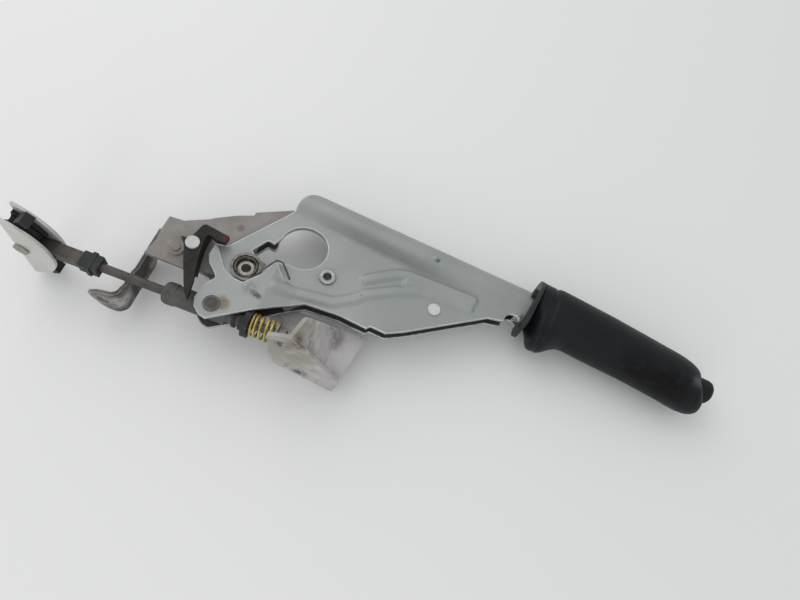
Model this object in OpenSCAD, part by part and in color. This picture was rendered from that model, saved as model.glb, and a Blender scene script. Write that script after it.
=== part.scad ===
// Parking brake lever: pressed lever on a folded bracket, with ratchet, sprung pull rod and cable equaliser.
// Millimetres. +X runs along the pull rod towards the grip, +Y is up in the car, +Z leaves the side plate.
// The origin is on the pivot axis, in the mid-plane of the lever.

/* [Lever pressing] */
// mid-plane to the outer face of a side plate
plate_out = 6; // [5.5:0.25:7]
// sheet thickness of the lever
sheet_t = 2; // [1.5:0.25:2.25]
// mid-plane to the outer face of a trunnion pad
pad_out = 9.5; // [9.25:0.25:9.75]
// radius of the tubular spine
tube_r = 12; // [11:0.5:13]
// downward tilt of the spine
arm_tilt = 4.3; // [3.5:0.1:5]
// height of the pressed beads
bead_h = 1.2; // [0.8:0.1:1.6]
// width of the pressed beads
bead_w = 6.4; // [5:0.2:7]
// radius of the valley between tube and plate
valley_r = 7; // [4:0.5:9]
// radius of the round end of the keyhole
keyhole_r = 16.5; // [14:0.5:17]

/* [Pivot] */
// outer radius of the pivot bush
bush_r = 5; // [4.5:0.1:5.5]
// bore radius of the pivot bush
bush_bore_r = 3.2; // [2.5:0.1:3.6]
// outer radius of the cup that sits in the near plate
cup_r = 9.6; // [9:0.1:10]

/* [Bracket] */
// sheet thickness of the bracket
base_t = 2.5; // [2:0.25:3]
// gap between the far pad and the bracket
base_gap = 1; // [0.75:0.25:1.5]
// height of the mounting face of the feet
foot_y = -48; // [-50:0.5:-47]
// radius of the mounting holes
bolt_r = 4.5; // [4:0.25:5]

/* [Ratchet] */
// thickness of the toothed plate
sector_t = 3.2; // [2.5:0.1:4]
// tip radius of the teeth
tooth_r = 33; // [31:0.25:33.5]
// depth of the teeth
tooth_h = 2.2; // [1.5:0.1:3]
// angle from tooth to tooth
tooth_pitch = 4; // [3:0.5:6]
// thickness of the pawl
pawl_t = 4; // [3:0.25:5]

/* [Pull rod] */
// trunnion position along the rod
trunnion_x = -8; // [-9:0.25:-7]
// trunnion position below the pivot
trunnion_y = -34; // [-35:0.25:-33.5]
// radius of the trunnion journals
journal_r = 4.5; // [3.5:0.1:5]
// outer radius of the adjuster housing
housing_r = 7; // [6.5:0.1:7.2]
// radius of the pull rod
rod_r = 3; // [2.5:0.1:3.5]
// radius of the spring seat
seat_r = 9.8; // [9:0.1:10]
// mean radius of the take-up spring
take_up_r = 7.4; // [6.8:0.1:8]
// radius of its wire
take_up_wire = 0.85; // [0.7:0.05:1]
// free length of the take-up spring
take_up_len = 17.5; // [16:0.5:18]

/* [Equaliser] */
// radius of the half-moon plates
eq_r = 35; // [32:0.5:36]
// half of the space between the half-moon plates
eq_half = 5.2; // [4.9:0.1:6]
// thickness of the half-moon plates
eq_t = 2; // [1.5:0.25:2.5]
// radius of the equaliser pin
eq_pin_r = 3; // [2.5:0.1:3.5]

/* [Grip] */
// radius of the grip
grip_r = 17.5; // [16:0.5:19]
// length of the grip
grip_len = 118; // [100:1:125]
// radius of the release button
button_r = 8.6; // [8:0.1:9]
// travel of the release button
button_travel = 5; // [3:0.5:6]

/* [Fits] */
// radial play of a turning fit
run_fit = 0.05; // [0.03:0.01:0.08]
// radial play of a pressed or riveted seat
seat_fit = 0.02; // [0.01:0.01:0.05]
// gap between pieces that pass each other
free_gap = 0.4; // [0.3:0.05:0.6]

/* [Hidden] */
$fn = 96;
plate_in = plate_out - sheet_t;
pad_in = pad_out - sheet_t;
base_top = -pad_out - base_gap;
base_z = base_top - base_t;
bend_r = 5;
arm_x0 = 29;
arm_y0 = 62.7;
tube_in = tube_r - sheet_t;
shell_end = 163;
collar_s = 163.5;
collar_sleeve_r = 14;
fade_x = 37;
grip_dip = 3.4;
button_drop = 1.8;
grip_s = 176;
grip_end = grip_s + grip_len;
tube_end = grip_end - 12.5 - button_travel;
ridge_near = [50, 38.5];
ridge_far = [71, base_top];
ridge_run = ridge_near - ridge_far;
ridge_lip = [ridge_run[1], -ridge_run[0]] / norm(ridge_run) * 1.45;
keyhole_c = [29.5, 28.9];
trunnion = [trunnion_x, trunnion_y];
pawl_c = [52.2, 14.3];
guide_c = [127.7, 20];
hook_c = [-35.9, -1.5];
boss_c = [-48.7, -3.1];
pawl_rivet_r = 4;
guide_rivet_r = 3;
hook_rivet_r = 3;
boss_rivet_r = 2.8;
hook_z = pad_out + 0.9;
hook_t = 4.6;
tooth_a = -24;
pawl_clear = 0.4;
pawl_tail = 26;
cup_floor = 2.2;
cup_floor_t = 1.4;
seat_x = 14.5;
seat_t = 4;
spring_x = seat_x + seat_t;
nut_x = spring_x + take_up_len + 1.2;
eq_x = -149;
eq_pin_x = -135;
bar_y = 9;
bar_z = 7;
eye_r = 7;
eq_swing = 12;

// flat sheet in the XY plane
module flat(z0, t) {
    translate([0, 0, z0])
        linear_extrude(t)
            children();
}

// sheet that stands across X, drawn as (Y, Z)
module across_x(x0, t) {
    translate([x0, 0, 0])
        rotate([90, 0, 90])
            linear_extrude(t)
                children();
}

// sheet that lies level in the car, drawn as (X, Z)
module level(y0, t) {
    translate([0, y0 + t, 0])
        rotate([90, 0, 0])
            linear_extrude(t)
                children();
}

// round bar along +X
module bar(x0, len, r) {
    translate([x0, 0, 0])
        rotate([0, 90, 0])
            cylinder(h = len, r = r);
}

// ring along +X
module ring(x0, len, r, hole) {
    difference() {
        bar(x0, len, r);
        bar(x0 - 1, len + 2, hole);
    }
}

// upright pin along Z
module pin(c, z0, z1, r) {
    translate([c[0], c[1], z0])
        cylinder(h = z1 - z0, r = r);
}

// frame of the spine: local X along the tube
module at_arm(s = 0) {
    translate([arm_x0, arm_y0, 0])
        rotate([0, 0, -arm_tilt])
            translate([s, 0, 0])
                children();
}

// frame of the pull rod: local X along the rod
module at_rod() {
    translate([0, trunnion_y, 0])
        children();
}

// side step of an open line at point i, half of the width w
function step(path, i, w) =
    let (d = path[min(i + 1, len(path) - 1)] - path[max(i - 1, 0)])
        [-d[1], d[0]] / norm(d) * w / 2;

// ribbon of width w along an open line
module ribbon(path, w) {
    n = len(path) - 1;
    polygon(concat([for (i = [0:n]) path[i] + step(path, i, w)],
                   [for (i = [n:-1:0]) path[i] - step(path, i, w)]));
}

// coil along local X from x = 0
module coil(mean_r, wire, len, turns) {
    n = round(turns * 20);
    m = 8;
    points = [for (i = [0:n]) for (j = [0:m - 1])
        let (a = 360 * turns * i / n, b = 360 * j / m, r = mean_r + wire * cos(b))
            [wire + (len - 2 * wire) * i / n + wire * sin(b), r * cos(a), r * sin(a)]];
    sides = [for (i = [0:n - 1]) for (j = [0:m - 1])
        [i * m + j, i * m + (j + 1) % m, (i + 1) * m + (j + 1) % m, (i + 1) * m + j]];
    first = [[for (j = [m - 1:-1:0]) j]];
    last = [[for (j = [0:m - 1]) n * m + j]];
    polyhedron(points = points, faces = concat(sides, first, last), convexity = 10);
}

// side view of the lever, with the keyhole and the notches
module lever_side() {
    difference() {
        union() {
            translate([33, 54.5])
                circle(r = 20);
            polygon([[13, 54.4], [-17.4, 9.8], [-24.3, 8.5], [-24.8, -2.3], [-22.2, -7.8], [-15.7, -13.6],
                     [-13.8, -16.5], [-18.5, -24.3], [-19.6, -34], [-17.4, -39.5], [-12.5, -43.6],
                     [-7.7, -44.7], [13.1, -30.7], [29.9, -19.2], [45.9, -9.9], [69.5, -8.8],
                     [89.1, -10.7], [91.5, -8.3],
                     [102.3, -9.1], [113.3, -3.5], [164.9, 29.1], [173.4, 30.5], [186.4, 35.4],
                     [187, 42], [187, 90], [33, 90], [33, 54.4]]);
        }
        translate([181.5, 33])
            circle(r = 5.5);
        translate(keyhole_c)
            circle(r = keyhole_r);
        polygon([[-1.5, 13.5], [3.8, 22.7], [5.2, 24.6], [10, 23.8], [16.7, 38.2], [29, 30], [24, 12.5],
                 [17.1, 11.4], [10.5, 0.9]]);
    }
}

pad_line = [[-25, 7], [-18.2, -1.6], [-12.5, -8.6], [-4.7, -13], [4, -13.5], [13.2, -2.2], [18.2, 9],
            [24.6, 0.5], [30, -3], [fade_x, -5.2]];

// part of the side view that is joggled outwards round the trunnion and fades into the plate
module pad_area() {
    intersection() {
        lever_side();
        polygon(concat(pad_line, [[fade_x, -50], [-40, -60], [-40, 7]]));
    }
}

// joggled sheet seen from below, filled from depth z0 at the plate and z1 at the pad
module joggle(z0, z1) {
    level(-60, 90)
        polygon([[-60, z1], [-60, pad_out], [19, pad_out], [fade_x, plate_out], [fade_x + 9, plate_out],
                 [fade_x + 9, z0], [fade_x, z0], [19, z1]]);
}

// section of the lever across the spine, drawn as (up, Z), with the sheet flowing from tube to plate
module lever_section() {
    reach = tube_r + valley_r;
    cz = plate_out + valley_r;
    ct = -sqrt(reach * reach - cz * cz);
    turn = atan2(-cz, -ct);
    valley = [for (i = [0:8])
        let (a = -90 + (90 + turn) * i / 8)
            [ct + valley_r * cos(a), cz + valley_r * sin(a)]];
    difference() {
        union() {
            circle(r = tube_r);
            translate([-130, -plate_out])
                square([130, 2 * plate_out]);
            for (k = [0, 1])
                mirror([0, k])
                    polygon(concat(valley, [[-tube_r / 2, plate_in]]));
        }
        circle(r = tube_in);
        translate([-131, -plate_in])
            square([131, 2 * plate_in]);
    }
}

// pressed bead: the crown of a round bar sunk into the plate, ball-ended at every bend
module bead(path) {
    ball = (bead_w * bead_w / 4 + bead_h * bead_h) / (2 * bead_h);
    intersection() {
        translate([0, 0, plate_out + bead_h - ball])
            union() {
                for (p = path)
                    translate([p[0], p[1], 0])
                        sphere(r = ball + 0.05);
                for (i = [0:len(path) - 2])
                    let (d = path[i + 1] - path[i])
                        translate([path[i][0], path[i][1], 0])
                            rotate([0, 0, atan2(d[1], d[0])])
                                bar(0, norm(d), ball);
            }
        translate([0, -40, plate_out - 0.5])
            cube([200, 120, bead_h + 1]);
    }
}

module lever_shell() {
    color("slategray")
        difference() {
            union() {
                difference() {
                    intersection() {
                        at_arm(-70)
                            across_x(0, 240)
                                lever_section();
                        flat(-20, 40)
                            lever_side();
                    }
                    flat(-20, 40)
                        pad_area();
                }
                at_arm(shell_end - 8)
                    ring(0, tube_end - shell_end + 8, tube_r, tube_in);
                for (k = [0, 1])
                    mirror([0, 0, k]) {
                        intersection() {
                            joggle(plate_in, pad_in);
                            flat(0, 20)
                                pad_area();
                        }
                        intersection() {
                            joggle(plate_in, plate_in);
                            flat(0, 20)
                                intersection() {
                                    lever_side();
                                    ribbon(pad_line, sheet_t);
                                }
                        }
                        bead([[27, -6], [46, -3.6], [63, -0.6], [80.7, 12.9], [99, 23], [114, 28.6],
                        [150, 29.2]]);
                        bead([[77, 23.5], [98, 36.6], [106, 38.6], [151, 37.6]]);
                    }
            }
            pin([0, 0], -20, 0, bush_r + run_fit);
            pin([0, 0], 0, 20, cup_r + seat_fit);
            pin(keyhole_c + [-1.5, 3.5], -20, 0, keyhole_r + 1.2);
            pin(trunnion, -20, 20, journal_r + run_fit);
            pin(pawl_c, -20, 20, pawl_rivet_r + seat_fit);
            pin(guide_c, -20, 20, guide_rivet_r + seat_fit);
        }
}

module pivot_cup() {
    color("dimgray")
        rotate_extrude()
            polygon([[bush_r + run_fit, cup_floor], [cup_r, cup_floor], [cup_r, plate_out],
                     [cup_r + 0.8, plate_out], [cup_r + 0.8, plate_out + 1.2], [cup_r - 1, plate_out + 1.2],
                     [cup_r - 1, cup_floor + cup_floor_t], [bush_r + run_fit, cup_floor + cup_floor_t]]);
}

module return_spring() {
    color("gray")
        translate([0, 0, cup_floor + cup_floor_t])
            rotate([0, -90, 0])
                coil((cup_r - 1 + bush_r + 0.8) / 2, 0.7, 4.2, 1.6);
}

module pivot_bush() {
    color("silver")
        rotate_extrude()
            polygon([[bush_bore_r, base_z - 1.4], [bush_r + 3, base_z - 1.4], [bush_r + 3, base_z],
                     [bush_r, base_z], [bush_r, cup_floor + cup_floor_t + 0.2],
                     [bush_r + 0.6, cup_floor + cup_floor_t + 0.2],
                     [bush_r + 0.6, cup_floor + cup_floor_t + 0.9],
                     [bush_bore_r, cup_floor + cup_floor_t + 0.9]]);
}

module pivot_washers() {
    color("gray") {
        difference() {
            pin([0, 0], base_top, -plate_out, 9);
            pin([0, 0], base_top - 1, 0, bush_r + seat_fit);
        }
        difference() {
            pin([0, 0], -plate_in, -sector_t / 2, 8);
            pin([0, 0], -plate_in - 1, 0, bush_r + seat_fit);
        }
    }
}

// tooth flanks: slow rise, steep face towards +angle
module teeth() {
    n0 = -2;
    n1 = floor(36 / tooth_pitch) + 2;
    root = tooth_r - tooth_h;
    tips = [for (i = [n0:n1]) for (k = [0, 1])
        let (a = tooth_a + (i + k * 0.75) * tooth_pitch, r = root + k * tooth_h)
            [r * cos(a), r * sin(a)]];
    polygon(concat([[0, 0]], tips));
}

module sector_plate() {
    color("rosybrown")
        difference() {
            union() {
                flat(-sector_t / 2, sector_t) {
                    circle(r = 12);
                    teeth();
                    polygon([[11.8, 57.5], [-12.4, 44.4], [-13.1, 41.3], [-23.1, 36.7], [-36, 28.6],
                             [-38.5, 26.4],
                             [-53.6, 18.2], [-63.7, 17.5], [-64.1, 6], [-63, -1], [-65.7, -14.1],
                             [-37.5, -14.5],
                             [-14, -9], [0, -10], [0, 14], [-1, 26], [6, 46]]);
                }
                pin(boss_c, sector_t / 2, sector_t / 2 + 1.2, 5.5);
            }
            pin([0, 0], -20, 20, bush_r + seat_fit);
            pin(boss_c, -20, 20, boss_rivet_r + seat_fit);
            pin(hook_c, -20, 20, hook_rivet_r + seat_fit);
        }
}

module hook_rivet() {
    color("silver") {
        pin(hook_c, base_z, hook_z + hook_t + 1, hook_rivet_r);
        pin(hook_c, base_top, -sector_t / 2, 6);
        pin(hook_c, hook_z + hook_t, hook_z + hook_t + 1.4, 4.6);
    }
}

module spacer_rivet() {
    color("gray")
        union() {
            pin(boss_c, base_z, sector_t / 2 + 2.2, boss_rivet_r);
            pin(boss_c, base_top, -sector_t / 2, 5);
        }
}

module adjuster_hook() {
    color("dimgray")
        difference() {
            union() {
                flat(hook_z, hook_t)
                    polygon([[-45, 0.3], [-40.1, 0.9], [-38.5, 3.3], [-36.2, 13.1], [-34.2, 14.8],
                             [-22, 13],
                             [-16.9, 12.4], [-17.4, 7.2], [-23.7, 6.7], [-27.9, 8.7], [-30.6, 7.4],
                             [-30.4, 2],
                             [-28.7, -7.2], [-26, -18.3], [-24, -25.3], [-21.8, -38.7], [-25.4, -35.1],
                             [-37.8, -11.2], [-40.4, -4.1]]);
                flat(sector_t / 2 + free_gap, hook_z - 0.6)
                    polygon([[-40.2, -4.4], [-38.3, 3.2], [-36, 13], [-34.1, 14.5], [-30.4, 13.9],
                             [-30.7, 7.6],
                             [-30.5, 2], [-28.8, -7.2], [-26.2, -18], [-34, -17.6], [-37.6, -11.2]]);
                pin(hook_c, sector_t / 2, hook_z + 1, 6);
            }
            pin(hook_c, -20, 20, hook_rivet_r + run_fit);
        }
}

// folded front wall on the ridge of the foot, seen along its own plane
module front_wall() {
    d = ridge_run;
    w = norm(d) - 0.6;
    translate([ridge_far[0], 0, ridge_far[1]])
        rotate([0, -atan2(d[1], d[0]), 0])
            translate([0, 0, -base_t / 2])
                linear_extrude(base_t)
                    polygon([[-1, foot_y + 0.8], [w, foot_y + 0.8], [w - 7, -30.5], [w - 9, -28],
                             [w - 12, -26.6],
                             [0, -11.2], [-1, -11.2]]);
}

module base_bracket() {
    color("rosybrown")
        difference() {
            union() {
                flat(base_z, base_t) {
                    circle(r = 16.5);
                    polygon([[-70.5, -6], [-70.5, 12], [-50, 13], [-30, 15], [0, 16.4], [15, 6], [40, -10],
                             [92, -10.5], [84, foot_y + 0.4], [70, foot_y + 0.4], [66, -33], [47, -27],
                             [20, -19.5], [-14, -12],
                             [-30, -8.5]]);
                }
                across_x(-70.5, base_t)
                    polygon([[-6, -33], [-6, base_top], [-22, base_top], [-26, -8.5], [-36, -8.5],
                             [foot_y + bend_r + base_t, -6], [foot_y + bend_r + base_t, -32]]);
                translate([-70.5 - bend_r, foot_y + bend_r + base_t, -32])
                    linear_extrude(26)
                        difference() {
                            circle(r = bend_r + base_t);
                            circle(r = bend_r);
                            translate([-40, -40])
                                square([40, 80]);
                            translate([-40, 0])
                                square([80, 40]);
                        }
                across_x(-70.5, base_t)
                    polygon([[-6.5, -33], [-6.5, base_top], [11.5, base_top], [11.5, -20]]);
                level(foot_y, base_t)
                    polygon([[-70.5 - bend_r, -6], [-84, -9.5], [-91, -15.5], [-90, -20],
                             [-84.5, -29.4], [-80, -32],
                             [-70.5 - bend_r, -32]]);
                level(foot_y, base_t)
                    polygon([[36, 30], ridge_near + ridge_lip, [84.6, base_top + 0.7], [84.6, base_z - 0.7],
                             [82, -31], [40, -16], [36, -3]]);
                front_wall();
            }
            pin([0, 0], -40, 20, bush_r + seat_fit);
            pin(hook_c, -20, 20, hook_rivet_r + seat_fit);
            pin(boss_c, -20, 20, boss_rivet_r + seat_fit);
            for (p = [[46.4, 22.5], [58.6, -16], [-81.5, -20]])
                translate([p[0], foot_y - 1, p[1]])
                    rotate([-90, 0, 0])
                        cylinder(h = base_t + 2, r = bolt_r);
        }
}

module pawl_rivet() {
    color("gainsboro")
        difference() {
            union() {
                pin(pawl_c, -plate_out - 1, plate_out + 1, pawl_rivet_r);
                pin(pawl_c, plate_out, plate_out + 1.2, 5.8);
                pin(pawl_c, -plate_out - 1.2, -plate_out, 5.8);
            }
            pin(pawl_c, -20, 20, 2.8);
        }
}

module guide_rivet() {
    color("gainsboro") {
        pin(guide_c, -plate_out - 0.8, plate_out + 0.8, guide_rivet_r);
        pin(guide_c, plate_out, plate_out + 0.9, 4.3);
        pin(guide_c, -plate_out - 0.9, -plate_out, 4.3);
    }
}

module guide_spacer() {
    color("gray")
        difference() {
            pin(guide_c, -plate_in, plate_in, 5);
            pin(guide_c, -20, 20, guide_rivet_r + seat_fit);
        }
}

// pawl: hooked arm down to the teeth, tail up to the push rod
module pawl() {
    tip = tooth_r + pawl_clear;
    color("gray")
        difference() {
            union() {
                pin(pawl_c, -pawl_t / 2, pawl_t / 2, 7.5);
                flat(-pawl_t / 2, pawl_t)
                    polygon([pawl_c + [5, -5], pawl_c + [-9, -22.5], [37.5, -14.8],
                             [(tip + 4) * cos(tooth_a - 2), (tip + 4) * sin(tooth_a - 2)],
                             [tip * cos(tooth_a), tip * sin(tooth_a)],
                             [(tip + 3) * cos(tooth_a + 3), (tip + 3) * sin(tooth_a + 3)],
                             [(tip + 3) * cos(tooth_a + 12), (tip + 3) * sin(tooth_a + 12)],
                             pawl_c + [-7, 2], pawl_c]);
                flat(-pawl_t / 2, pawl_t)
                    polygon([pawl_c + [-5.5, 1], pawl_c + [-1.5, pawl_tail + 3], pawl_c + [2.5, pawl_tail + 3],
                             pawl_c + [5.5, 1]]);
            }
            pin(pawl_c, -20, 20, pawl_rivet_r + run_fit);
        }
}

// bent wire from the button to the tail of the pawl, with a flat eye at its end
module push_rod() {
    r = 2;
    head = pawl_c + [2.5 + free_gap + 2.6, pawl_tail];
    knee_s = 122;
    knee = [arm_x0 + knee_s * cos(arm_tilt), arm_y0 - knee_s * sin(arm_tilt)];
    d = knee - head;
    color("silver")
        union() {
            pin(head, -2.2, 2.2, 2.6);
            translate([head[0], head[1], 0])
                rotate([0, 0, atan2(d[1], d[0])])
                    bar(0, norm(d), r);
            pin(knee, -2.2, 2.2, 2.5);
            at_arm(knee_s)
                bar(0, grip_end - 12 - knee_s, r);
        }
}

module rod_guide() {
    color("dimgray")
        at_arm(grip_s + 20)
            ring(0, 8, tube_in - seat_fit, 2 + free_gap);
}

module button_spring() {
    color("silver")
        at_arm(grip_s + 28)
            coil(5, 0.7, grip_end - 30 - grip_s - 28, 7);
}

module release_button() {
    color("dimgray")
        at_arm(grip_end)
            rotate([0, 90, 0])
                difference() {
                    union() {
                        translate([0, 0, -30])
                            cylinder(h = 19, r = 6.7);
                        translate([0, -button_drop, 0])
                            rotate_extrude()
                                polygon([[0, -12], [button_r, -12], [button_r, 6], [button_r - 0.6, 8.2],
                                         [button_r - 2.2, 9.8], [button_r - 4.6, 10.7], [0, 11]]);
                    }
                    translate([0, 0, -31])
                        cylinder(h = 19, r = 2 + seat_fit);
                }
}

// grip: tapered round body that dips towards its end, with a finger stop below and a blunt lower toe
module grip() {
    $fn = 56;
    color([0.15, 0.15, 0.16])
        at_arm(0)
            difference() {
                union() {
                    translate([grip_s, 3.6, 0])
                        rotate([0, 0, -grip_dip]) {
                            bar(-10.5, 14, grip_r + 1);
                            hull() {
                                bar(0, 1, grip_r + 1.4);
                                bar(3, 1, grip_r + 2.3);
                                bar(46, 1, grip_r + 1.9);
                                bar(70, 1, grip_r + 1);
                                bar(grip_len - 26, 1, grip_r);
                                bar(grip_len - 14, 1, grip_r - 1.4);
                                translate([grip_len - 7, -2.6, 0])
                                    bar(0, 1, grip_r - 4.4);
                                translate([grip_len - 7, -12.6, 0])
                                    sphere(r = grip_r - 10.6);
                                translate([grip_len - 1.5, -3.5, 0])
                                    bar(0, 1, grip_r - 7.6);
                            }
                            hull() {
                                translate([-1.5, -22.5, 0])
                                    sphere(r = 8.5);
                                translate([12, -9, 0])
                                    sphere(r = 10);
                            }
                        }
                }
                bar(grip_s - 20, tube_end - grip_s + 20, tube_r + seat_fit);
                bar(grip_s - 20, 16, collar_sleeve_r + seat_fit);
                translate([0, -button_drop, 0])
                    bar(grip_s, grip_len + 20, button_r + free_gap);
            }
}

// collar: thin tilted flange on a sleeve that goes into the grip, with a lug for the gaiter
module grip_collar() {
    color([0.12, 0.12, 0.13])
        at_arm(collar_s)
            difference() {
                union() {
                    rotate([0, 0, -grip_dip - 2])
                        bar(-1.3, 2.6, 22.3);
                    bar(-1, 8, collar_sleeve_r);
                    translate([-3.4, 3, 11])
                        cube([4, 5, 5]);
                }
                bar(-20, 40, tube_r + seat_fit);
            }
}

module adjuster_housing() {
    color([0.2, 0.2, 0.2])
        difference() {
            union() {
                at_rod()
                    rotate([0, 90, 0])
                        rotate_extrude()
                            polygon([[0, -41], [housing_r - 1.4, -41], [housing_r - 0.2, -40.3],
                                     [housing_r + 0.6, -38.5], [housing_r + 0.6, -33], [housing_r, -32],
                                     [housing_r, 2], [5, 2], [5, seat_x], [0, seat_x]]);
                pin(trunnion, -pad_out - 0.4, pad_out + 1, journal_r);
                pin(trunnion, pad_out + 0.1, pad_out + 0.6, journal_r + 1.1);
            }
            at_rod()
                bar(-50, 90, rod_r + run_fit);
        }
}

// moulded seat, cut away on both sides where it reaches between the cheeks
module spring_seat() {
    color([0.1, 0.1, 0.1])
        at_rod()
            difference() {
                union() {
                    bar(seat_x, seat_t, seat_r);
                    bar(seat_x - 3, 3, 6.6);
                }
                bar(seat_x - 5, 5, 5 + seat_fit);
                bar(seat_x - 5, 20, rod_r + free_gap);
                for (k = [0, 1])
                    mirror([0, 0, k])
                        translate([seat_x - 5, 3.6, pad_in - free_gap])
                            cube([20, 10, 10]);
            }
}

module seat_ring() {
    color("silver")
        at_rod()
            ring(7, 2, 6.4, 5 + seat_fit);
}

module pull_rod() {
    color([0.32, 0.3, 0.28])
        difference() {
            union() {
                at_rod() {
                    bar(-104, 104 + nut_x + 5.8, rod_r);
                    translate([eq_pin_x + 3, -bar_y / 2, -bar_z / 2])
                        cube([-98 - eq_pin_x - 3, bar_y, bar_z]);
                }
                translate([eq_pin_x, trunnion_y - bar_y / 2, 0])
                    rotate([-90, 0, 0])
                        cylinder(h = bar_y, r = eye_r);
            }
            translate([eq_pin_x, trunnion_y - 20, 0])
                rotate([-90, 0, 0])
                    cylinder(h = 40, r = eq_pin_r + run_fit);
        }
}

module end_nut() {
    color("silver")
        at_rod()
            difference() {
                translate([nut_x, 0, 0])
                    rotate([0, 90, 0])
                        cylinder(h = 5, r = 5.6, $fn = 6);
                bar(nut_x - 1, 10, rod_r + seat_fit);
            }
}

module end_washer() {
    color("gray")
        at_rod()
            ring(spring_x + take_up_len, 1.2, take_up_r + take_up_wire, rod_r + seat_fit);
}

module rod_clip() {
    color([0.2, 0.2, 0.2])
        at_rod()
            difference() {
                union() {
                    translate([-97.5, -5.5, -4.5])
                        cube([13, 11, 9]);
                    translate([-92, -6.5, -5])
                        cube([3, 13, 10]);
                }
                bar(-110, 40, rod_r + seat_fit);
            }
}

module take_up_spring() {
    color("gold")
        at_rod()
            translate([spring_x, 0, 0])
                coil(take_up_r, take_up_wire, take_up_len, 4.2);
}

// half-moon in the (X, Z) plane
module half_moon(r) {
    intersection() {
        translate([eq_x, 0])
            circle(r = r);
        translate([eq_pin_x - 3, -60])
            square([80, 120]);
    }
}

module equaliser_plate(y0) {
    color("lightgray")
        difference() {
            level(y0, eq_t)
                half_moon(eq_r);
            translate([eq_pin_x, y0 - 1, 0])
                rotate([-90, 0, 0])
                    cylinder(h = eq_t + 2, r = eq_pin_r + seat_fit);
        }
}

module equaliser_upper_plate() {
    equaliser_plate(trunnion_y + eq_half);
}

module equaliser_lower_plate() {
    equaliser_plate(trunnion_y - eq_half - eq_t);
}

// two cable shoes, one on each side of the rod, with an end stop that stands out past the plates
module cable_guide() {
    reach = bar_z / 2 + free_gap;
    color([0.1, 0.1, 0.1])
        difference() {
            union() {
                level(trunnion_y - eq_half, 2 * eq_half)
                    difference() {
                        half_moon(eq_r - 6);
                        translate([eq_pin_x, 0])
                            circle(r = eye_r + free_gap);
                        polygon([[eq_pin_x - 20, -reach - 1], [eq_pin_x - 20, reach + 1],
                                 [eq_pin_x, reach + 1],
                                 [eq_pin_x + 40, reach + 2 + 40 * tan(eq_swing)],
                                 [eq_pin_x + 40, -reach - 2 - 40 * tan(eq_swing)], [eq_pin_x, -reach - 1]]);
                    }
                for (k = [0, 1])
                    mirror([0, 0, k])
                        level(trunnion_y - 4, 8)
                            polygon([[eq_pin_x, eq_r - 13], [eq_pin_x + 7, eq_r - 12.5],
                                     [eq_pin_x + 14, eq_r - 5.5], [eq_pin_x + 9, eq_r - 1.5],
                                     [eq_pin_x + 3, eq_r - 7]]);
            }
            translate([eq_x, trunnion_y, 0])
                rotate([90, 0, 0])
                    rotate_extrude()
                        translate([eq_r - 6, 0])
                            circle(r = 2.6);
        }
}

module equaliser_pin() {
    color("silver")
        translate([eq_pin_x, trunnion_y, 0])
            rotate([90, 0, 0]) {
                cylinder(h = 2 * (eq_half + eq_t) + 1.6, r = eq_pin_r, center = true);
                translate([0, 0, eq_half + eq_t])
                    cylinder(h = 1.4, r = 5);
                translate([0, 0, -eq_half - eq_t - 1.4])
                    cylinder(h = 1.4, r = 5);
            }
}

base_bracket();
sector_plate();
hook_rivet();
spacer_rivet();
pivot_bush();
pivot_washers();
lever_shell();
pivot_cup();
return_spring();
pawl_rivet();
guide_rivet();
guide_spacer();
grip();
grip_collar();
rod_guide();
pawl();
release_button();
push_rod();
button_spring();
adjuster_hook();
adjuster_housing();
spring_seat();
seat_ring();
pull_rod();
end_nut();
end_washer();
rod_clip();
take_up_spring();
equaliser_upper_plate();
equaliser_lower_plate();
cable_guide();
equaliser_pin();
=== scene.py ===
import bmesh
import bpy
import numpy as np
from mathutils import Matrix, Vector


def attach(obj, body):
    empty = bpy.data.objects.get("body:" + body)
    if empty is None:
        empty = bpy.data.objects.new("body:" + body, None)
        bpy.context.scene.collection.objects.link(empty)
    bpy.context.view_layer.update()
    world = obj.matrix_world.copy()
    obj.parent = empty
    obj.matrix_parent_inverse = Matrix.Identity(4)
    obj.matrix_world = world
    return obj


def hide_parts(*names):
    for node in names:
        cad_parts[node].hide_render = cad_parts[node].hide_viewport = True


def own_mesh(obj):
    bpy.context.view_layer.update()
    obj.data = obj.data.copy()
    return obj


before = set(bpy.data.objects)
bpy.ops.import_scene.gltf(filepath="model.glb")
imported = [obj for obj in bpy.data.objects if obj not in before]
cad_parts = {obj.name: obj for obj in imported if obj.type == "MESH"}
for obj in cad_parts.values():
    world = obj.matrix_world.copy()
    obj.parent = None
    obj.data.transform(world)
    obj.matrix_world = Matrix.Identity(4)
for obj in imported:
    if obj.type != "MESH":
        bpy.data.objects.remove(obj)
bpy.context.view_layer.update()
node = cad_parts
scene = bpy.context.scene

# The camera stands over the lever, a little to its lower side, and looks down on the near side plate.
# Its wide lens is assumed; with it, the equaliser just reaches the left edge of the picture.
camera = bpy.data.objects.new("camera", bpy.data.cameras.new("camera"))
scene.collection.objects.link(camera)
scene.camera = camera
camera.matrix_world = Matrix(((0.93471, -0.35518, -0.01306, 0.09813),
                              (0.31082, 0.83469, -0.45462, -0.17405),
                              (0.17237, 0.42088, 0.89059, 0.38183),
                              (0, 0, 0, 1)))
camera.data.lens = 27.9
camera.data.sensor_width = 36
camera.data.clip_start = 0.01
scene.view_settings.view_transform = "Standard"

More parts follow.
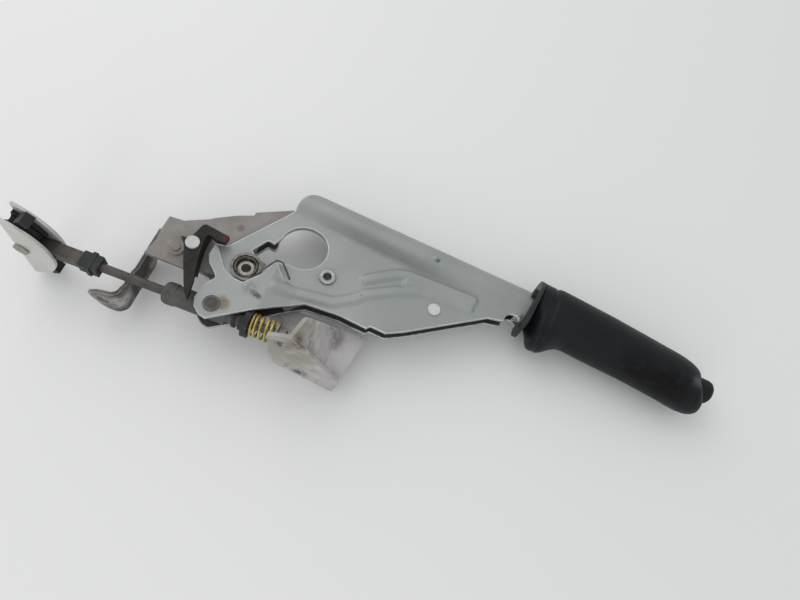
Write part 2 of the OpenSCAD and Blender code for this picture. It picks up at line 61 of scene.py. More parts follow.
# The pale table the lever lies on, tilted so that bracket, equaliser and grip all come down to it.
# A broad soft window at the upper left, a pale wall in front that shines back, and an even white room.
table = bpy.data.meshes.new("table")
half_side = 3.0
table_height, slope_x, slope_y = -0.0309, 0.0233, 0.0981
x, y = half_side * np.array([-1, 1, 1, -1]), half_side * np.array([-1, -1, 1, 1])
table.from_pydata(np.stack([x, y, table_height + slope_x * x + slope_y * y], 1).tolist(), [], [(0, 1, 2, 3)])
floor = bpy.data.objects.new("table", table)
scene.collection.objects.link(floor)
tabletop = bpy.data.materials.new("table")
tabletop.use_nodes = True
top_shader = tabletop.node_tree.nodes["Principled BSDF"]
top_shader.inputs["Base Color"].default_value = (0.775, 0.78, 0.765, 1)
top_shader.inputs["Roughness"].default_value = 0.5
table.materials.append(tabletop)
lit_point = Vector((0.06, 0.01, 0.0))
for name, energy, size, place in (("window", 5.0, 1.3, (-0.7, 0.5, 0.95)),
                                  ("wall", 0.9, 0.3, (-0.05, -0.85, 0.3))):
    lamp = bpy.data.lights.new(name, "AREA")
    lamp.energy = energy
    lamp.size = size
    lamp.color = (1.0, 0.985, 0.965)
    light = bpy.data.objects.new(name, lamp)
    scene.collection.objects.link(light)
    aim = lit_point - Vector(place)
    light.matrix_world = Matrix.Translation(place) @ aim.to_track_quat("-Z", "Y").to_matrix().to_4x4()
world = bpy.data.worlds.new("room")
scene.world = world
world.use_nodes = True
world.node_tree.nodes["Background"].inputs["Color"].default_value = (0.965, 0.98, 1.0, 1)
world.node_tree.nodes["Background"].inputs["Strength"].default_value = 0.76


# Bracket: one folded steel sheet on the far side, zinc gone dull and brownish, scratched and specked with rust.
# It is bolted to the floor by its feet; the toothed plate is riveted to it over spacers.
def blended(tree, factor, first, second):
    """Colour that goes from first to second as the factor goes from 0 to 1."""
    mixer = tree.nodes.new("ShaderNodeMix")
    mixer.data_type = "RGBA"
    tree.links.new(factor, mixer.inputs[0])
    tree.links.new(first, mixer.inputs[6])
    mixer.inputs[7].default_value = (*second, 1)
    return mixer.outputs[2]


def ranged(tree, value, low, high, to=(0, 1), smooth=False):
    """Factor from to[0] where the value is low to to[1] where it is high, straight or by a smooth step."""
    span = tree.nodes.new("ShaderNodeMapRange")
    if smooth:
        span.interpolation_type = "SMOOTHSTEP"
    span.inputs["From Min"].default_value, span.inputs["From Max"].default_value = low, high
    span.inputs["To Min"].default_value, span.inputs["To Max"].default_value = to
    tree.links.new(value, span.inputs["Value"])
    return span.outputs["Result"]


def cut_noise(tree, where, scale, low, high, detail=5, stretch=None, turn=(0, 0, 0)):
    """Fractal noise in object space, from 0 below low to 1 above high; stretch squeezes it into lines."""
    if stretch:
        squeeze = tree.nodes.new("ShaderNodeMapping")
        squeeze.inputs["Scale"].default_value = stretch
        squeeze.inputs["Rotation"].default_value = turn
        tree.links.new(where, squeeze.inputs["Vector"])
        where = squeeze.outputs["Vector"]
    noise = tree.nodes.new("ShaderNodeTexNoise")
    noise.inputs["Scale"].default_value = scale
    noise.inputs["Detail"].default_value = detail
    noise.inputs["Roughness"].default_value = 0.6
    tree.links.new(where, noise.inputs["Vector"])
    return ranged(tree, noise.outputs["Fac"], low, high)


def times(tree, first, second):
    """Product of two factors; the second may be a plain number."""
    product = tree.nodes.new("ShaderNodeMath")
    product.operation = "MULTIPLY"
    tree.links.new(first, product.inputs[0])
    if isinstance(second, float):
        product.inputs[1].default_value = second
    else:
        tree.links.new(second, product.inputs[1])
    return product.outputs[0]


def metal_finish(name, dark, light, cloud=45, rough=(0.4, 0.6), metal=0.3, specks=None, lines=None, edge_tone=None,
                 grain=0.1, soft=0.0006, marks=(), gloss=0.5, bare_metal=0.0, inside_shade=None, bare_from=0.88,
                 shade=None):
    """Metal or plastic: two tones in clouds, specks, drawn-out scratches, edges in their own tone, and local
    marks.

    Specks are (scale, least noise, colour), and lines are (scale, least noise, turn about Z, colour).
    Edges come from a rounded normal: where it leaves the true normal, the surface is near an edge.
    A mark is (centre, radius, colour, strength): full at the centre, broken by noise, gone at the radius.
    A shade is (centre, turn about Z, three reaches, colour, strength): an ellipsoid that fades from its centre.
    Inside shade: painted shade for faces that look at the mid-plane; height times their normal across is
    negative."""
    made = bpy.data.materials.new(name)
    made.use_nodes = True
    tree = made.node_tree
    shader = tree.nodes["Principled BSDF"]
    coords = tree.nodes.new("ShaderNodeTexCoord")
    where = coords.outputs["Object"]
    ramp = tree.nodes.new("ShaderNodeValToRGB")
    ramp.color_ramp.elements[0].color = (*dark, 1)
    ramp.color_ramp.elements[1].color = (*light, 1)
    tree.links.new(cut_noise(tree, where, cloud, 0.3, 0.7, 6), ramp.inputs["Fac"])
    colour = ramp.outputs["Color"]
    if specks:
        scale, least, tone = specks
        colour = blended(tree, cut_noise(tree, where, scale, least, least + 0.05, 8), colour, tone)
    if lines:
        scale, least, turn, tone = lines
        streak = cut_noise(tree, where, scale, least, least + 0.04, 3, (1, 0.05, 1), (0, 0, turn))
        colour = blended(tree, times(tree, streak, 0.8), colour, tone)
    for centre, radius, tone, strength in marks:
        away = tree.nodes.new("ShaderNodeVectorMath")
        away.operation = "DISTANCE"
        tree.links.new(where, away.inputs[0])
        away.inputs[1].default_value = centre
        fade = ranged(tree, away.outputs["Value"], radius, radius * 0.25, smooth=True)
        patch = times(tree, fade, cut_noise(tree, where, 3 / radius, 0.32, 0.52, 4))
        colour = blended(tree, times(tree, patch, strength), colour, tone)
    if shade:
        centre, turn, reach, tone, strength = shade
        local = tree.nodes.new("ShaderNodeMapping")
        local.vector_type = "TEXTURE"
        local.inputs["Location"].default_value = centre
        local.inputs["Rotation"].default_value = (0, 0, turn)
        local.inputs["Scale"].default_value = reach
        tree.links.new(where, local.inputs["Vector"])
        away = tree.nodes.new("ShaderNodeVectorMath")
        away.operation = "LENGTH"
        tree.links.new(local.outputs["Vector"], away.inputs[0])
        fade = ranged(tree, away.outputs["Value"], 1.0, 0.1, smooth=True)
        colour = blended(tree, times(tree, fade, strength), colour, tone)
    if inside_shade:
        height, across = (tree.nodes.new("ShaderNodeSeparateXYZ") for _ in range(2))
        tree.links.new(where, height.inputs[0])
        tree.links.new(coords.outputs["Normal"], across.inputs[0])
        inward_shade = ranged(tree, times(tree, height.outputs["Z"], across.outputs["Z"]), -0.0005, -0.002)
        colour = blended(tree, inward_shade, colour, inside_shade)
    rounded = tree.nodes.new("ShaderNodeBevel")
    rounded.samples = 4
    rounded.inputs["Radius"].default_value = soft
    if edge_tone:
        true_normal = tree.nodes.new("ShaderNodeNewGeometry").outputs["Normal"]
        along = tree.nodes.new("ShaderNodeVectorMath")
        along.operation = "DOT_PRODUCT"
        tree.links.new(rounded.outputs["Normal"], along.inputs[0])
        tree.links.new(true_normal, along.inputs[1])
        edge = ranged(tree, along.outputs["Value"], 0.99, bare_from)
        edge_patch = times(tree, edge, cut_noise(tree, where, 260, 0.26, 0.46, 4))
        colour = blended(tree, edge_patch, colour, edge_tone)
        shine = ranged(tree, edge_patch, 0, 1, (metal, max(metal, bare_metal)))
        tree.links.new(shine, shader.inputs["Metallic"])
    else:
        shader.inputs["Metallic"].default_value = metal
    tree.links.new(colour, shader.inputs["Base Color"])
    sheen = ranged(tree, cut_noise(tree, where, cloud * 3, 0.3, 0.7, 5), 0, 1, rough)
    tree.links.new(sheen, shader.inputs["Roughness"])
    shader.inputs["Specular IOR Level"].default_value = gloss
    lift = tree.nodes.new("ShaderNodeBump")
    lift.inputs["Strength"].default_value = grain
    lift.inputs["Distance"].default_value = 0.0004
    tree.links.new(cut_noise(tree, where, 900, 0.2, 0.8, 3), lift.inputs["Height"])
    tree.links.new(rounded.outputs["Normal"], lift.inputs["Normal"])
    tree.links.new(lift.outputs["Normal"], shader.inputs["Normal"])
    return made


def dress(finish, *names):
    """Gives CAD nodes this finish in place of their plain colour."""
    for n in names:
        node[n].data.materials.clear()
        node[n].data.materials.append(finish)


dull_zinc = metal_finish(
    "dull_zinc", dark=(0.33, 0.315, 0.312), light=(0.47, 0.455, 0.452), cloud=38, rough=(0.5, 0.7), metal=0.15,
    specks=(210, 0.61, (0.09, 0.06, 0.048)), lines=(80, 0.6, 0.6, (0.13, 0.095, 0.08)), edge_tone=(0.62, 0.61, 0.6),
    grain=0.12, soft=0.0008,
    marks=[((-0.069, -0.03, -0.015), 0.055, (0.05, 0.044, 0.037), 1.0),
           ((-0.092, -0.048, -0.014), 0.026, (0.34, 0.29, 0.255), 0.85),
           # Painted light: this pale mark lifts the front wall, which lies in the lever's shadow.
           ((0.06, -0.02, 0.005), 0.055, (0.6, 0.582, 0.585), 1.0),
           ((0.047, -0.048, 0.02), 0.05, (0.295, 0.27, 0.225), 0.9),
           ((0.0464, -0.048, 0.0225), 0.0085, (0.06, 0.042, 0.036), 0.9),
           ((0.0586, -0.048, -0.016), 0.0085, (0.06, 0.042, 0.036), 0.9),
           ((0.056, -0.046, 0.031), 0.009, (0.1, 0.06, 0.045), 0.75),
           ((0.071, -0.02, -0.0105), 0.012, (0.12, 0.085, 0.075), 0.6)])
dress(dull_zinc, "base_bracket")
inner_zinc = metal_finish(
    "inner_zinc", dark=(0.2, 0.185, 0.175), light=(0.3, 0.285, 0.27), cloud=42, rough=(0.5, 0.7), metal=0.15,
    specks=(240, 0.68, (0.12, 0.08, 0.07)), edge_tone=(0.42, 0.41, 0.4), grain=0.12,
    marks=[((-0.0167, 0.0282, 0.002), 0.004, (0.14, 0.05, 0.05), 0.8),
           ((-0.0487, -0.0031, 0.0016), 0.03, (0.19, 0.168, 0.148), 0.75)])
dress(inner_zinc, "sector_plate", "spacer_rivet")

# Rivets: turned from bright steel and headed over; the hook's and the solid one through the lever shine most.
# The hollow pivot bush and its washers are plain steel, grey-brown with old grease.
bright_head = metal_finish(
    "bright_head", dark=(0.38, 0.38, 0.375), light=(0.5, 0.5, 0.495), cloud=160, rough=(0.35, 0.5), metal=0.2,
    edge_tone=(0.7, 0.7, 0.7), grain=0.08, soft=0.0005)
dress(bright_head, "hook_rivet")
white_head = metal_finish(
    "white_head", dark=(0.48, 0.485, 0.485), light=(0.6, 0.605, 0.605), cloud=160, rough=(0.35, 0.5),
    metal=0.2, edge_tone=(0.75, 0.75, 0.75), grain=0.08, soft=0.0005)
dress(white_head, "guide_rivet")
greasy_steel = metal_finish(
    "greasy_steel", dark=(0.17, 0.16, 0.125), light=(0.34, 0.325, 0.28), cloud=220, rough=(0.28, 0.45),
    metal=0.65, specks=(500, 0.68, (0.05, 0.042, 0.03)), edge_tone=(0.62, 0.61, 0.58), soft=0.0005)
dress(greasy_steel, "pivot_washers", "guide_spacer", "pawl", "push_rod")
bush_steel = metal_finish(
    "bush_steel", dark=(0.2, 0.195, 0.17), light=(0.38, 0.37, 0.33), cloud=300, rough=(0.25, 0.4), metal=0.6,
    specks=(600, 0.66, (0.05, 0.045, 0.035)), edge_tone=(0.5, 0.49, 0.45), grain=0.05, soft=0.001, bare_metal=0.9)
dress(bush_steel, "pivot_bush")

# Hook: thick sintered lever, almost black, held on the bracket by the bright rivet.
# A red paint daub marks the end of its short arm.
black_iron = metal_finish(
    "black_iron", dark=(0.012, 0.012, 0.01), light=(0.03, 0.0295, 0.026), cloud=120, rough=(0.5, 0.7),
    metal=0.1, specks=(420, 0.7, (0.1, 0.095, 0.085)), edge_tone=(0.085, 0.083, 0.076), grain=0.25, soft=0.0008,
    gloss=0.22,
    marks=[((-0.0172, 0.0105, 0.0145), 0.0058, (0.1, 0.022, 0.026), 0.9)])
dress(black_iron, "adjuster_hook")

# Lever pressing: one zinc-plated blank folded into a tube with two side plates, satin and bluish grey.
# Grease has browned it by the trunnion, a tool has scuffed it; painted shade darkens the crease under the tube.
# Painted highlight: the nearly white edge tone is part bared metal, part a painted highlight along the edges.
satin_zinc = metal_finish(
    "satin_zinc", dark=(0.26, 0.278, 0.272), light=(0.325, 0.343, 0.337), cloud=22, rough=(0.36, 0.5),
    specks=(150, 0.68, (0.21, 0.225, 0.22)), lines=(90, 0.68, 0.35, (0.35, 0.365, 0.36)),
    # Painted shade: faces inside the channel, those that look at the mid-plane, are darkened almost to black.
    edge_tone=(0.9, 0.91, 0.91), grain=0.05, soft=0.0012, bare_metal=0.75, inside_shade=(0.075, 0.078, 0.075),
    # Painted shade: a smooth dark ellipsoid along the crease under the tube.
    bare_from=0.955, shade=((0.088, 0.0488, 0.0), -0.1, (0.078, 0.0072, 0.05), (0.1, 0.107, 0.096), 0.55),
    marks=[((-0.0022, -0.0315, 0.0095), 0.0075, (0.14, 0.1, 0.03), 0.85),
           ((0.0122, -0.0163, 0.0095), 0.0026, (0.09, 0.085, 0.078), 0.9),
           ((0.0147, -0.0173, 0.0095), 0.003, (0.05, 0.045, 0.04), 0.95),
           ((0.0172, -0.0182, 0.0095), 0.0028, (0.05, 0.045, 0.04), 0.95),
           ((0.0095, -0.0148, 0.0095), 0.0075, (0.17, 0.165, 0.155), 0.6),
           ((-0.0145, -0.0005, 0.0095), 0.009, (0.2, 0.2, 0.19), 0.5)])
dress(satin_zinc, "lever_shell")

# Pressed beads of the lever: two stiffening ribs that run together towards the grip, on both side plates.
# They are drawn in the same sheet, so the crown rises softly from the plate and ends without an edge.
def new_piece(name, points, wrap, body, finish, closed_ends=False, shown=None):
    """Mesh on a grid of points in millimetres: each cell is one face, and wrap joins the far side to the near.

    closed_ends fills the first and last ring with a fan round its mean point; shown picks the cells to keep."""
    rows, columns = points.shape[:2]
    i = np.arange(rows if wrap[0] else rows - 1)[:, None] * columns
    below = (i + columns) % (rows * columns)
    j = np.arange(columns if wrap[1] else columns - 1)[None, :]
    beside = (j + 1) % columns
    cells = np.stack([i + j, i + beside, below + beside, below + j], -1).reshape(-1, 4)
    corners = points.reshape(-1, 3)
    if shown is not None:
        used, cells = np.unique(cells[shown.reshape(-1)], return_inverse=True)
        corners, cells = corners[used], cells.reshape(-1, 4)
    faces = cells.tolist()
    if closed_ends:
        corners = np.concatenate([corners, points[:1].mean(1), points[-1:].mean(1)])
        last = (rows - 1) * columns
        hub = np.full(columns, rows * columns)
        k = np.arange(columns)
        faces += np.stack([hub, (k + 1) % columns, k], 1).tolist()
        faces += np.stack([hub + 1, last + k, last + (k + 1) % columns], 1).tolist()
    mesh = bpy.data.meshes.new(name)
    mesh.from_pydata((corners * 0.001).tolist(), [], faces)
    if wrap[1]:
        shell = bmesh.new()
        shell.from_mesh(mesh)
        bmesh.ops.recalc_face_normals(shell, faces=shell.faces)
        shell.to_mesh(mesh)
        shell.free()
    mesh.polygons.foreach_set("use_smooth", np.ones(len(mesh.polygons), bool))
    mesh.materials.append(finish)
    piece = bpy.data.objects.new(name, mesh)
    scene.collection.objects.link(piece)
    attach(piece, body)
    return piece


def rise(v, a, b):
    """Smooth step from 0 at a to 1 at b: with u the share of the way, u squared times three less two u."""
    u = np.clip((v - a) / (b - a), 0, 1)
    return u * u * (3 - 2 * u)


rib_low = np.array([[24.5, -6.2], [40, -4.6], [62.4, -1.6], [74, 6], [81, 12.6], [99, 22.9], [114, 29],
                    [128, 30.2], [150, 29.6]])
rib_joined = np.array([[105, 32.4], [115, 33.8], [128, 34.2], [150, 33.4]])
rib_high = np.array([[77.3, 23.3], [87, 30.2], [97, 36.2], [105, 38.2], [120, 37.8], [151, 37.3]])
rib_foot, rib_top, rib_crown = 5.3, 1.7, 1.8


def distance_to(path, px, py):
    """Least distance of every point to the straight runs of a path, as one array operation per run."""
    least = np.full(px.shape, 1e9)
    for (ax, ay), (bx, by) in zip(path[:-1], path[1:]):
        t = np.clip(((px - ax) * (bx - ax) + (py - ay) * (by - ay)) / ((bx - ax) ** 2 + (by - ay) ** 2), 0, 1)
        least = np.minimum(least, np.hypot(px - ax - t * (bx - ax), py - ay - t * (by - ay)))
    return least


def rib_height(px, py):
    """Crown of a bead: a smooth flank over the distance to its line; the nearest line counts."""
    near = np.min([distance_to(line, px, py) for line in (rib_low, rib_high, rib_joined)], axis=0)
    return rib_crown * rise(near, rib_foot, rib_top)


rib_zinc = metal_finish(
    "rib_zinc", dark=(0.26, 0.278, 0.272), light=(0.325, 0.343, 0.337), cloud=22, rough=(0.36, 0.5),
    specks=(150, 0.68, (0.21, 0.225, 0.22)), lines=(90, 0.66, 0.35, (0.36, 0.375, 0.37)), grain=0.05,
    soft=0.0001,
    # Painted shade: a small dark spot on the lower right side of the locating pip.
    marks=[((0.1188, 0.0536, 0.0122), 0.003, (0.09, 0.095, 0.09), 0.95)])
px, py = np.meshgrid(np.linspace(17, 159, 285), np.linspace(-14, 46, 121), indexing="ij")
crown = rib_height(px, py)
plate_out, cheek_step, sunk, least_crown = 6.0, 3.5, 0.03, 0.004
cheek_line = np.interp(px, [18.2, 24.6, 30, 37], [9, 0.5, -3, -5.2])
plate = plate_out + cheek_step * rise(py, cheek_line + 3.4, cheek_line + 1.0) * np.clip((37.6 - px) / 18, 0, 1)
raised = np.max([crown[1:, 1:], crown[:-1, 1:], crown[1:, :-1], crown[:-1, :-1]], axis=0) > least_crown
backing = 0.0004
for side, name in ((1, "near_ribs"), (-1, "far_ribs")):
    sheet = np.stack([px, py, side * (plate - sunk + crown)], -1)
    ribs = new_piece(name, sheet[:, ::-side], (False, False), "lever", rib_zinc, shown=raised[:, ::-side])
    ribs.modifiers.new("sheet", "SOLIDIFY").thickness = backing

# Locating pip of the spine: a small oval pushed out of the tube from inside when the blank is formed.
# It is part of the same sheet and stands a little over a millimetre proud of the tube.
tilt = np.radians(4.3)
spine_x, spine_y, tube_r = 29, 62.7, 12.0


def spine_point(s, t, z):
    """Place along the spine s, above it t and across z, turned into the part's frame."""
    return np.stack([spine_x + s * np.cos(tilt) + t * np.sin(tilt),
                     spine_y - s * np.sin(tilt) + t * np.cos(tilt), z], -1)


pip_s, pip_turn, pip_crown = 89, -0.07, 1.3
along, around = np.meshgrid(np.linspace(pip_s - 4, pip_s + 4, 41),
                            np.linspace(pip_turn - 0.35, pip_turn + 0.35, 41), indexing="ij")
oval = np.clip(1.15 - np.hypot((along - pip_s) / 3, (around - pip_turn) / 0.2), 0, 1)
pip_r = tube_r - sunk + pip_crown * rise(oval, 0, 1)
pip = new_piece("spine_pip", spine_point(along, pip_r * np.sin(around), pip_r * np.cos(around))[:, ::-1],
                (False, False), "lever", rib_zinc, shown=((oval[1:, 1:] + oval[:-1, :-1]) > 0.0)[:, ::-1])
pip.modifiers.new("sheet", "SOLIDIFY").thickness = backing

# Pivot cup: pressed from spring steel and set in the near plate; its dark colour is painted shade of its
# hollow.
# The return spring is wound from round wire in the bottom of the cup, round the hollow bush.
# Painted highlight: the pale edge tone on the rim is part bared steel, part painted highlight.
shaded_cup_steel = metal_finish(
    "shaded_cup_steel", dark=(0.075, 0.07, 0.055), light=(0.19, 0.185, 0.155), cloud=260, rough=(0.25, 0.4),
    metal=0.7, specks=(600, 0.66, (0.04, 0.035, 0.025)), edge_tone=(0.8, 0.8, 0.77), grain=0.08, bare_metal=0.9)
dress(shaded_cup_steel, "pivot_cup")


def wound_wire(mean_r, wire, length, turns, rest):
    """Helix carrying a round wire: the angle grows evenly, the advance slows at both ends by a sine."""
    run = np.linspace(0, 1, int(turns * 36))[:, None]
    spin = 2 * np.pi * turns * run
    ring = np.linspace(0, 2 * np.pi, 14, endpoint=False)[None, :]
    out = mean_r + wire * np.cos(ring)
    advance = run - rest * np.sin(2 * np.pi * run) / (2 * np.pi)
    along = wire + (length - 2 * wire) * advance + wire * np.sin(ring)
    return np.stack([along + 0 * out * spin, out * np.cos(spin), out * np.sin(spin)], -1)


coil = wound_wire(mean_r=7.1, wire=0.7, length=4.2, turns=2.4, rest=0.2)
cup_floor = 3.6
spring_wire = metal_finish(
    "spring_wire", dark=(0.05, 0.048, 0.042), light=(0.15, 0.145, 0.13), cloud=300, rough=(0.25, 0.4),
    metal=0.8, grain=0.05, soft=0.0002)
upright = np.stack([-coil[..., 2], coil[..., 1], coil[..., 0] + cup_floor], -1)
return_spring = new_piece("return_spring_wire", upright, (False, True), "lever", spring_wire, True)


def bent_wire(bends, wire, spread):
    """Round wire along straight runs with corners rounded by averaging; each ring stands across the run."""
    run = np.linspace(0, len(bends) - 1, 24 * len(bends))
    line = np.stack([np.interp(run, np.arange(len(bends)), b) for b in bends.T], 1)
    padded = np.concatenate([line[:1].repeat(spread, 0), line, line[-1:].repeat(spread, 0)])
    line = sum(padded[k:k + len(line)] for k in range(2 * spread + 1)) / (2 * spread + 1)
    ahead = np.gradient(line, axis=0)
    ahead /= np.linalg.norm(ahead, axis=1)[:, None]
    side = np.cross(ahead, [0, 0, 1.0]) + 1e-9
    side /= np.linalg.norm(side, axis=1)[:, None]
    up = np.cross(side, ahead)
    ring = np.linspace(0, 2 * np.pi, 12, endpoint=False)[None, :, None]
    return line[:, None] + wire * (np.cos(ring) * side[:, None] + np.sin(ring) * up[:, None])


leg = np.array([[3.2, -7.2, 6.6], [7.8, -5.6, 8.2], [11.7, 0.2, 10.05], [15.2, 7.2, 10.1], [17.4, 10.8, 10.1],
                [21.6, 11.0, 9.2], [25.8, 7.2, 7.6], [29.4, 3.2, 6.7], [30.2, 2.4, 3.5]])
spring_leg = new_piece("return_spring_leg", bent_wire(leg, wire=0.55, spread=5), (False, True), "lever",
                       spring_wire, True)
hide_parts("return_spring")

# Pawl rivet: a hollow steel rivet that carries the pawl between the side plates.
# Its rim is rolled over on the near plate, bright on its crest and dark in the bore.
rolled_rim = metal_finish(
    "rolled_rim", dark=(0.2, 0.2, 0.2), light=(0.4, 0.4, 0.4), cloud=300, rough=(0.2, 0.35), metal=0.8,
    specks=(500, 0.62, (0.05, 0.05, 0.05)), edge_tone=(0.12, 0.12, 0.12), grain=0.05, soft=0.001)
dress(rolled_rim, "pawl_rivet")

# Grip: soft black plastic moulded over the tube, with a finger stop below its neck and a blunt lower toe.
# The skin is smooth and faintly grained, creased at the end, with a seam along its top.
def grip_skin():
    """Closed profile turned round a dipping axis, its radius and end changed with the angle round the axis.

    Outer run: neck, groove, shoulder and body; then a rounded end whose squareness grows towards the toe;
    then back inside along the button's bore and the tube. A bulge below the neck makes the finger stop."""
    turn = np.linspace(0, 2 * np.pi, 144, endpoint=False)[None, :]
    down = np.maximum(0, -np.sin(turn))
    mouth, body_end, dip, lip_r = 165.7, 264, 0.0594, 9.2
    button_c, button_r, tube_bore, collar_bore = -1.8, 9.05, 12.06, 14.06
    body = np.concatenate([[mouth, 165.9, 166.6], np.linspace(168, 175.5, 6),
                           [176.4, 177, 177.6, 178.2, 179, 180.2], np.linspace(182, body_end, 84)])[:, None]
    radius = np.interp(body, [mouth, 165.9, 166.6, 168, 176, 177, 178, 179.2, 181.5, 222, 246, body_end],
                       [16.5, 17.9, 18.5, 18.6, 18.6, 18.1, 18.9, 19.5, 19.8, 19.4, 18.6, 17.9])
    stop = 13.2 * rise(body, 165.6, 173) * (1 - rise(body, 175, 199)) ** 1.4 * down ** 2.4
    toe = 2.4 * rise(body, 235, 285) * down ** 2
    seam = 0.22 * rise(body, 181, 186) * np.exp(-((turn - 1.45) / 0.05) ** 2)
    nick = sum(np.exp(-((body - s) / 1.3) ** 2) for s in (217, 240, 262)) * np.exp(-((turn - 1.5) / 0.3) ** 2)
    outer_r = radius + stop + toe + seam - 0.4 * nick
    outer_s = body + 0 * turn
    outer_c = 3.6 - dip * (body - 176) + 0 * turn
    bend = np.linspace(0, np.pi / 2, 36)[1:, None]
    square = 2 / (2.1 + 2.6 * down ** 1.5)
    start = outer_r[-1:]
    first = body_end + 18 * down ** 1.5
    last = 291.5 + 6.5 * down ** 1.5
    reach = np.sin(bend) ** square
    end_s = first + (last - first) * reach
    end_r = lip_r + (start + 1.3 * down ** 2 - lip_r) * np.cos(bend) ** square
    end_c = -1.63 - 0.17 * reach - dip * (end_s - body_end) * (1 - reach)
    fold = (np.exp(-((end_s - 286 - 3 * np.sin(2 * turn)) / 1.1) ** 2)
            - 0.8 * np.exp(-((end_s - 291) / 1.4) ** 2)
            + 0.6 * np.exp(-((end_s - 280 + 4 * np.cos(turn)) / 1.6) ** 2))
    end_r = end_r - 0.8 * fold * np.exp(-((turn - 5.75) / 0.75) ** 2) * np.cos(bend) ** 0.4
    inner_s = np.array([290.8, 284, 276.4, 172.4, 172.3, mouth])[:, None] + 0 * turn
    inner_r = np.array([button_r, button_r, tube_bore, tube_bore, collar_bore, collar_bore])[:, None] + 0 * turn
    inner_c = np.array([button_c, button_c, 0, 0, 0, 0])[:, None] + 0 * turn
    s = np.concatenate([outer_s, end_s, inner_s])
    r = np.concatenate([outer_r, end_r, inner_r])
    c = np.concatenate([outer_c, end_c, inner_c])
    return spine_point(s, c + r * np.sin(turn), r * np.cos(turn))


soft_black = metal_finish(
    "soft_black", dark=(0.006, 0.0068, 0.008), light=(0.0105, 0.0119, 0.0138), cloud=40, rough=(0.34, 0.5),
    metal=0.0, specks=(320, 0.72, (0.02, 0.021, 0.023)), grain=0.3, soft=0.0003, gloss=0.16,
    # Painted shade: the first two marks darken the lower half of the body almost to black.
    marks=[((0.272, 0.02, 0.013), 0.024, (0.0008, 0.0008, 0.001), 1.0),
           ((0.294, 0.022, 0.014), 0.024, (0.0008, 0.0008, 0.001), 1.0),
           # Painted highlights: three small pale marks along the creased end.
           ((0.3145, 0.036, 0.012), 0.0075, (0.085, 0.085, 0.095), 0.85),
           ((0.3178, 0.0305, 0.0095), 0.0045, (0.12, 0.12, 0.13), 0.85),
           ((0.3195, 0.0245, 0.0065), 0.004, (0.1, 0.1, 0.11), 0.85)])
grip = new_piece("grip_skin", grip_skin(), (True, True), "lever", soft_black)
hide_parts("grip")

# Collar: thin hard plastic flange on a sleeve that is pushed into the mouth of the grip.
# The release button and the guide in the tube are hard plastic too.
hard_black = metal_finish(
    "hard_black", dark=(0.012, 0.0128, 0.0134), light=(0.022, 0.0235, 0.0245), cloud=70, rough=(0.38, 0.55),
    metal=0.0, edge_tone=(0.045, 0.047, 0.048), grain=0.15, soft=0.0007, gloss=0.3)
dress(hard_black, "grip_collar", "rod_guide")
button_grey = metal_finish(
    "button_grey", dark=(0.007, 0.009, 0.009), light=(0.012, 0.015, 0.015), cloud=60, rough=(0.4, 0.55),
    metal=0.0, edge_tone=(0.016, 0.019, 0.019), soft=0.001, gloss=0.16)
dress(button_grey, "release_button")

# Button spring: round wire in the tube, between the guide and the stem of the button.
# It stands on the guide, 204 mm along the spine.
run = wound_wire(mean_r=5, wire=0.7, length=60, turns=9.2, rest=0.3)
push_back = new_piece("button_spring_wire", spine_point(204 + run[..., 0], run[..., 1], run[..., 2]),
                      (False, True), "lever", spring_wire, True)
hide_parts("button_spring")
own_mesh(push_back)

# Adjuster housing: dark moulded body on two peened trunnions in the lever, closed by the spring seat.
# The trunnion faces are bare steel, brown with grease.
dark_body = metal_finish(
    "dark_body", dark=(0.045, 0.043, 0.04), light=(0.085, 0.082, 0.078), cloud=90, rough=(0.45, 0.6),
    metal=0.15, specks=(380, 0.7, (0.03, 0.028, 0.025)), edge_tone=(0.42, 0.4, 0.32), grain=0.2,
    marks=[((-0.008, -0.034, 0.0104), 0.012, (0.05, 0.048, 0.036), 1.0)])
dress(dark_body, "adjuster_housing")
dress(hard_black, "spring_seat", "seat_ring")

# Pull rod: round bar, blackened and rust brown, flattened at the equaliser end and threaded under the spring.
# A black clip grips it beside the flat; washer and nut close the spring at the free end.
brown_rod = metal_finish(
    "brown_rod", dark=(0.05, 0.043, 0.037), light=(0.092, 0.082, 0.072), cloud=140, rough=(0.45, 0.6),
    metal=0.25, specks=(420, 0.66, (0.045, 0.03, 0.022)), edge_tone=(0.16, 0.15, 0.14), grain=0.15, soft=0.0005)
dress(brown_rod, "pull_rod")
dress(hard_black, "rod_clip")
dress(greasy_steel, "end_nut", "end_washer")


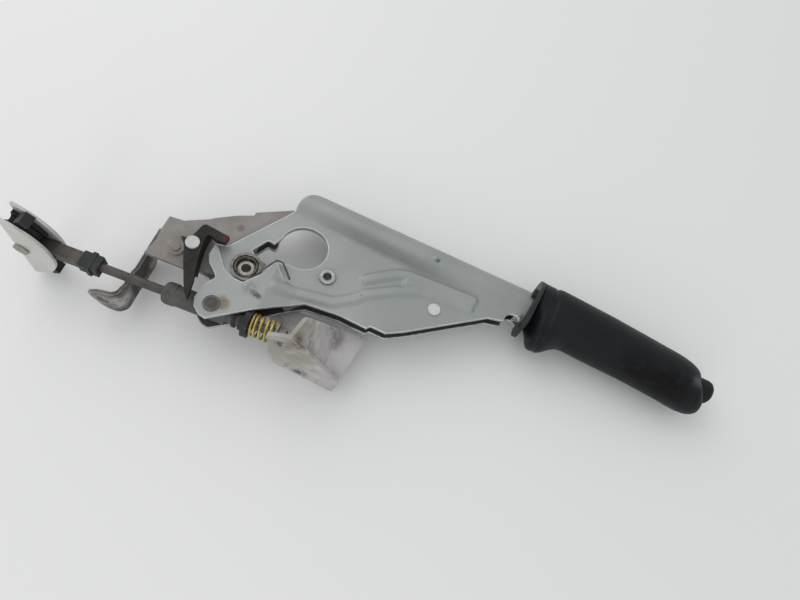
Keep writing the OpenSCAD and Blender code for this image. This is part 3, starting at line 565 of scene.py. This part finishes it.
def threaded(first, last, root, crest, pitch):
    """Rod surface whose radius follows a rounded triangle wave of the advance less the angle over a turn."""
    along = np.arange(first, last, pitch / 8)[:, None]
    turn = np.linspace(0, 2 * np.pi, 32, endpoint=False)[None, :]
    wave = np.abs(((along / pitch - turn / (2 * np.pi)) % 1) * 2 - 1)
    r = root + (crest - root) * rise(wave, 0.1, 0.9)
    return np.stack([along + 0 * turn, rod_y + r * np.cos(turn), r * np.sin(turn)], -1)


thread_steel = metal_finish(
    "thread_steel", dark=(0.2, 0.18, 0.14), light=(0.5, 0.47, 0.42), cloud=260, rough=(0.25, 0.4), metal=0.7,
    specks=(420, 0.56, (0.05, 0.038, 0.028)), grain=0.05, soft=0.0002)
rod_y = -34
thread = new_piece("rod_thread", threaded(first=20.9, last=35.8, root=3.02, crest=3.36, pitch=1.25),
                   (False, True), "rod", thread_steel, True)

# Take-up spring: round wire with a yellow passivated skin, wound with closed ends, between seat and washer.
yellow_wire = metal_finish(
    "yellow_wire", dark=(0.33, 0.24, 0.05), light=(0.62, 0.5, 0.17), cloud=200, rough=(0.25, 0.4), metal=0.55,
    specks=(420, 0.7, (0.16, 0.12, 0.05)), grain=0.05, soft=0.0002)
coil = wound_wire(mean_r=7.4, wire=0.85, length=17.5, turns=5.2, rest=0.35)
seat_x = 18.5
take_up = new_piece("take_up_wire", coil + np.array([seat_x, rod_y, 0]), (False, True), "adjuster",
                    yellow_wire, True)
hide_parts("take_up_spring")
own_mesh(take_up)

# Equaliser: two bright zinc half-moon plates on a pin through the rod's flat, black cable shoes between them.
# The plates are finely scratched and specked, and brighter along their edges.
pale_zinc = metal_finish(
    "pale_zinc", dark=(0.5, 0.49, 0.465), light=(0.61, 0.6, 0.572), cloud=60, rough=(0.35, 0.5), metal=0.25,
    specks=(330, 0.68, (0.3, 0.28, 0.25)), lines=(80, 0.7, 1.2, (0.74, 0.74, 0.72)), edge_tone=(0.8, 0.8, 0.78),
    grain=0.06)
dress(pale_zinc, "equaliser_upper_plate", "equaliser_lower_plate")
dress(hard_black, "cable_guide")
dress(greasy_steel, "equaliser_pin")
